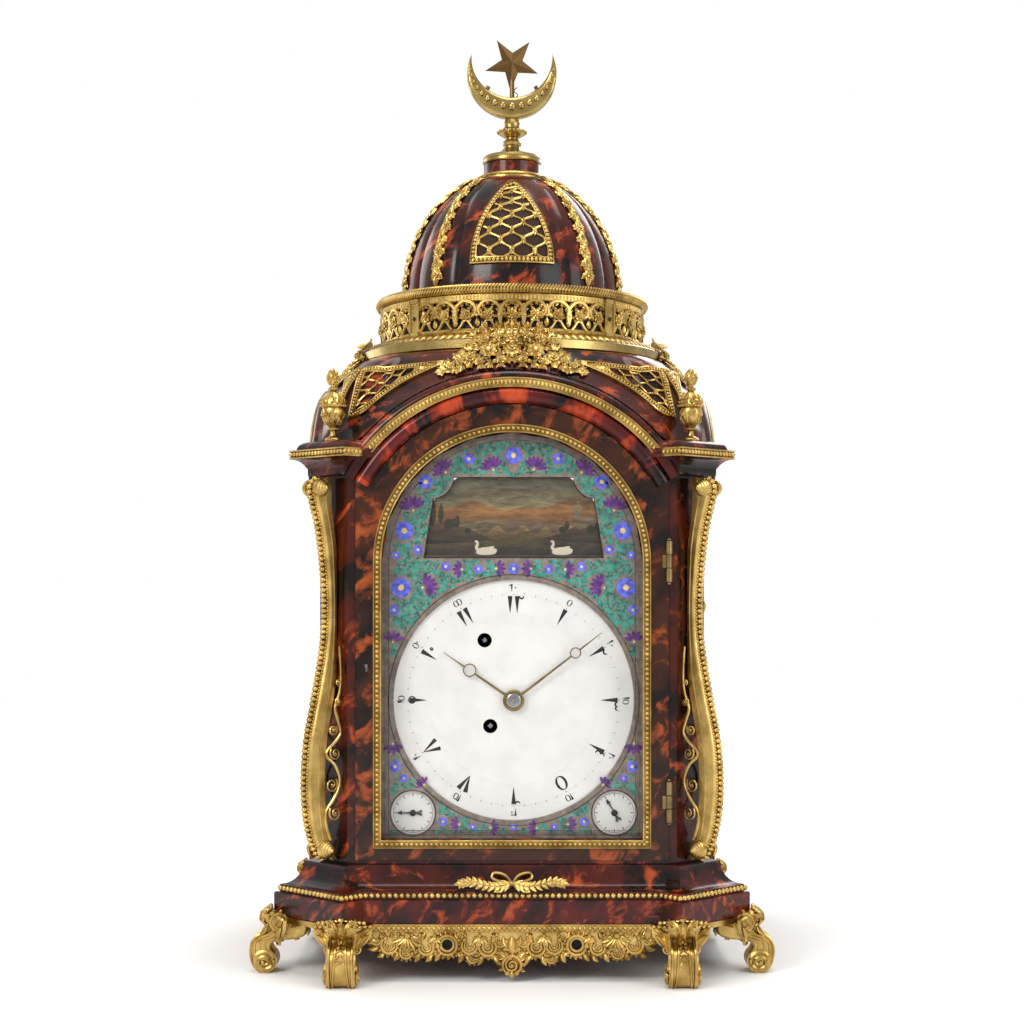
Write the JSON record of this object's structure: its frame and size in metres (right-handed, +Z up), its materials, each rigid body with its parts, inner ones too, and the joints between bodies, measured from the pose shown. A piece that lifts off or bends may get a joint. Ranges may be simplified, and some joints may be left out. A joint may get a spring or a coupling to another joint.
{
  "type": "musical table clock",
  "caption": "Square table clock with arched moulded top, pierced gallery and dome, corner consoles, scroll feet, glazed hinged doors, white dial with hands and a chiming movement inside.",
  "frame": {"origin": "centre of the footprint on the table, at the feet's rest plane", "axes": "+Z up, -Y towards the viewer of the main dial, +X to the viewer's right"},
  "size_m": [0.384, 0.384, 0.723],
  "materials": {
    "shell_veneer": "polished tortoiseshell veneer on wood",
    "gilt_bronze": "chased and burnished gilding",
    "dark_bronze": "patinated",
    "clear_glass": "clear",
    "painted_enamel": "painted flowers on a taupe ground",
    "white_enamel": "glossy white with black figures",
    "scene_paint": "painted landscape under varnish",
    "hand_brass": "darkened",
    "blued_steel": "blued",
    "movement_brass": "brushed",
    "bell_metal": "turned"
  },
  "bodies": {
    "case": {"foot_front_right": "gilt_bronze", "console_front_right": "gilt_bronze", "corner_fret_front_right": "gilt_bronze", "urn_front_right": "gilt_bronze", "foot_back_right": "gilt_bronze", "console_back_right": "gilt_bronze", "corner_fret_back_right": "gilt_bronze", "urn_back_right": "gilt_bronze", "foot_back_left": "gilt_bronze", "console_back_left": "gilt_bronze", "corner_fret_back_left": "gilt_bronze", "urn_back_left": "gilt_bronze", "foot_front_left": "gilt_bronze", "console_front_left": "gilt_bronze", "corner_fret_front_left": "gilt_bronze", "urn_front_left": "gilt_bronze", "apron_front": "gilt_bronze", "bouquet_front": "gilt_bronze", "apron_right": "gilt_bronze", "bouquet_right": "gilt_bronze", "apron_back": "gilt_bronze", "bouquet_back": "gilt_bronze", "apron_left": "gilt_bronze", "bouquet_left": "gilt_bronze", "plinth": "shell_veneer", "carcass": "shell_veneer", "cornice": "shell_veneer", "roof": "shell_veneer", "dome_shell": "shell_veneer", "finial_drum": "shell_veneer", "drum_band": "gilt_bronze", "gallery": "gilt_bronze", "dome_mounts": "gilt_bronze", "finial_stem": "gilt_bronze", "crescent": "gilt_bronze", "star": "dark_bronze", "enamel_mask": "painted_enamel", "main_dial": "white_enamel", "strike_dial": "white_enamel", "tune_dial": "white_enamel", "scene_board": "scene_paint", "movement_frame": "movement_brass", "bell_nest": "bell_metal"},
    "front_door": {"front_door": "shell_veneer", "front_glass": "clear_glass", "front_bezel": "gilt_bronze"},
    "lock_bolt": {"lock_bolt": "blued_steel"},
    "back_door": {"back_door": "shell_veneer", "back_glass": "clear_glass"},
    "minute_hand": {"minute_hand": "hand_brass"},
    "hour_hand": {"hour_hand": "hand_brass"},
    "strike_hand": {"strike_hand": "blued_steel"},
    "tune_hand": {"tune_hand": "blued_steel"},
    "scene_strip": {"scene_strip": "scene_paint"},
    "going_fusee": {"going_fusee": "movement_brass"},
    "music_fusee": {"music_fusee": "movement_brass"},
    "music_barrel": {"music_barrel": "movement_brass"},
    "pendulum": {"pendulum": "movement_brass"},
    "hour_hammer": {"hour_hammer": "blued_steel"},
    "repeat_knob": {"repeat_knob": "gilt_bronze"}
  },
  "joints": [
    {"name": "front_door_hinge", "type": "hinge", "parent": "case", "child": "front_door", "pos_m": [0.1142, -0.1456, 0.2], "axis": [0, 0, 1], "range_deg": [0, 95]},
    {"name": "back_door_hinge", "type": "hinge", "parent": "case", "child": "back_door", "pos_m": [-0.1142, 0.1456, 0.2], "axis": [0, 0, 1], "range_deg": [0, 95]},
    {"name": "lock_bolt_throw", "type": "slide", "parent": "front_door", "child": "lock_bolt", "axis": [-1, 0, 0], "range_m": [0, 0.005]},
    {"name": "minute_hand_turn", "type": "hinge", "parent": "case", "child": "minute_hand", "pos_m": [0.0012, -0.13, 0.2], "axis": [0, 1, 0], "continuous": true},
    {"name": "hour_hand_turn", "type": "hinge", "parent": "case", "child": "hour_hand", "pos_m": [0.0012, -0.128, 0.2], "axis": [0, 1, 0], "continuous": true},
    {"name": "strike_hand_turn", "type": "hinge", "parent": "case", "child": "strike_hand", "pos_m": [-0.0731, -0.1245, 0.1168], "axis": [0, 1, 0], "range_deg": [0, 90]},
    {"name": "tune_hand_turn", "type": "hinge", "parent": "case", "child": "tune_hand", "pos_m": [0.0755, -0.1245, 0.1168], "axis": [0, 1, 0], "range_deg": [-120, 120]},
    {"name": "scene_strip_slide", "type": "slide", "parent": "case", "child": "scene_strip", "axis": [1, 0, 0], "range_m": [-0.008, 0.008]},
    {"name": "going_fusee_turn", "type": "hinge", "parent": "case", "child": "going_fusee", "pos_m": [-0.016, -0.06, 0.1809], "axis": [0, 1, 0], "continuous": true},
    {"name": "music_fusee_turn", "type": "hinge", "parent": "case", "child": "music_fusee", "pos_m": [-0.0202, -0.06, 0.2442], "axis": [0, 1, 0], "continuous": true},
    {"name": "music_barrel_turn", "type": "hinge", "parent": "case", "child": "music_barrel", "pos_m": [0.0423, -0.06, 0.232], "axis": [0, 1, 0], "continuous": true},
    {"name": "pendulum_swing", "type": "hinge", "parent": "case", "child": "pendulum", "pos_m": [0, -0.011, 0.276], "axis": [0, 1, 0], "range_deg": [-5, 5]},
    {"name": "hour_hammer_swing", "type": "hinge", "parent": "case", "child": "hour_hammer", "pos_m": [0.046, -0.014, 0.273], "axis": [0, 1, 0], "range_deg": [-8, 4]},
    {"name": "repeat_knob_pull", "type": "slide", "parent": "case", "child": "repeat_knob", "axis": [1, 0, 0], "range_m": [0, 0.008], "stiffness_N_per_m": 200, "springref_m": -0.002}
  ],
  "couplings": [
    {"joint": "hour_hand_turn", "follows": "minute_hand_turn", "ratio": 0.083333},
    {"joint": "music_barrel_turn", "follows": "music_fusee_turn", "ratio": -1.52}
  ]
}
